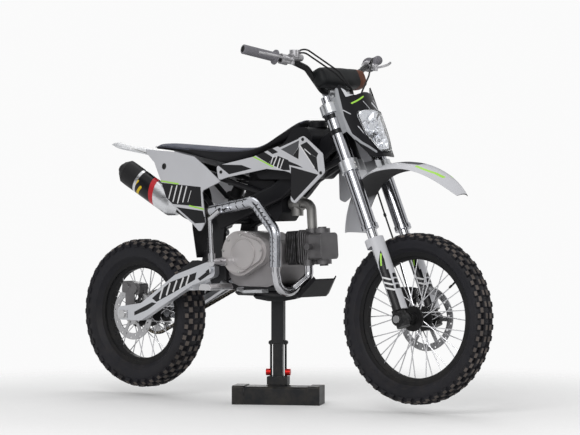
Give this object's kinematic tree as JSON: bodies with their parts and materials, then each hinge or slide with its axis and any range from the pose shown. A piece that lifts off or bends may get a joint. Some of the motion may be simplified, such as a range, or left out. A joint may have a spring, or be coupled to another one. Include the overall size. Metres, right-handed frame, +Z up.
{
  "type": "off-road motorcycle on a paddock stand",
  "caption": "Small off-road motorcycle with knobby spoked wheels, steering fork, long seat, open engine, folding side stand and a paddock stand under it",
  "frame": {"origin": "on the floor, in the middle of the paddock stand's foot", "axes": "+X forwards along the motorcycle, +Y to the rider's left, +Z up"},
  "size_m": [1.8311, 0.7879, 1.2462],
  "materials": {
    "frame_black": "satin black paint",
    "plastic_white": "smooth silver-white moulding",
    "plastic_black": "fine-grained black moulding",
    "cast_dark": "dark painted casting",
    "cover_grey": "champagne-grey painted casting",
    "chrome": "polished chrome",
    "alloy_silver": "bright satin alloy",
    "steel": "plain steel",
    "rim_black": "black rim",
    "tyre_rubber": "dull black rubber",
    "grip_grey": "grey ribbed rubber",
    "seat_cover": "dark slate-blue vinyl",
    "pad_black": "soft black cover",
    "lens": "clear faceted lens over a bright reflector",
    "knob_red": "red knob",
    "rubber_black": "black rubber"
  },
  "bodies": {
    "chassis": {"frame": "frame_black", "skid_plate": "plastic_black", "engine_case": "cast_dark", "clutch_cover": "cover_grey", "cylinder_barrel": "cast_dark", "cylinder_head": "cast_dark", "carburettor": "alloy_silver", "air_box": "plastic_black", "exhaust_pipe": "chrome", "heat_shield": "alloy_silver", "silencer": "alloy_silver", "kick_lever": "chrome", "foot_pegs": "steel", "foot_controls": "steel", "swingarm": "alloy_silver", "rear_shock": "frame_black", "rear_axle": "steel", "rear_brake_caliper": "frame_black", "front_sprocket": "steel", "drive_chain": "steel", "seat": "seat_cover", "fuel_tank": "plastic_black", "fuel_cap": "plastic_black", "side_panels": "plastic_white", "tank_shrouds": "plastic_white", "rear_fender": "plastic_white", "mud_flap": "plastic_black", "stand_foot": "frame_black", "stand_column": "frame_black", "stand_knobs": "knob_red"},
    "steering": {"triple_clamps": "alloy_silver", "fork_tubes": "alloy_silver", "fork_sliders": "chrome", "fork_guards": "plastic_white", "front_axle": "steel", "handlebar": "frame_black", "bar_pad": "pad_black", "grips": "grip_grey", "hand_levers": "frame_black", "headlight_mask": "plastic_black", "headlight": "lens", "front_fender": "plastic_white", "front_brake_caliper": "frame_black", "control_cables": "rubber_black"},
    "front_wheel": {"front_tyre": "tyre_rubber", "front_rim": "rim_black", "front_hub": "steel", "front_disc": "steel"},
    "rear_wheel": {"rear_tyre": "tyre_rubber", "rear_rim": "rim_black", "rear_hub": "steel", "rear_disc": "steel", "rear_sprocket": "steel"},
    "side_stand": {"side_stand": "frame_black"}
  },
  "joints": [
    {"name": "steering_head", "type": "hinge", "parent": "chassis", "child": "steering", "pos_m": [0.58746, 0, 0.30373], "axis": [-0.4067, 0, 0.9135], "range_deg": [-46, 38]},
    {"name": "front_axle_spin", "type": "hinge", "parent": "steering", "child": "front_wheel", "pos_m": [0.62391, 0.00279, 0.31996], "axis": [-0.0637, 0.9976, -0.0284], "continuous": true},
    {"name": "rear_axle_spin", "type": "hinge", "parent": "chassis", "child": "rear_wheel", "pos_m": [-0.646, 0, 0.298], "axis": [0, 1, 0], "continuous": true},
    {"name": "side_stand_pivot", "type": "hinge", "parent": "chassis", "child": "side_stand", "pos_m": [-0.205, 0.13, 0.43], "axis": [0, -0.9659, -0.2588], "range_deg": [0, 75], "stiffness_Nm_per_rad": 1.6, "springref_deg": -85.94}
  ]
}
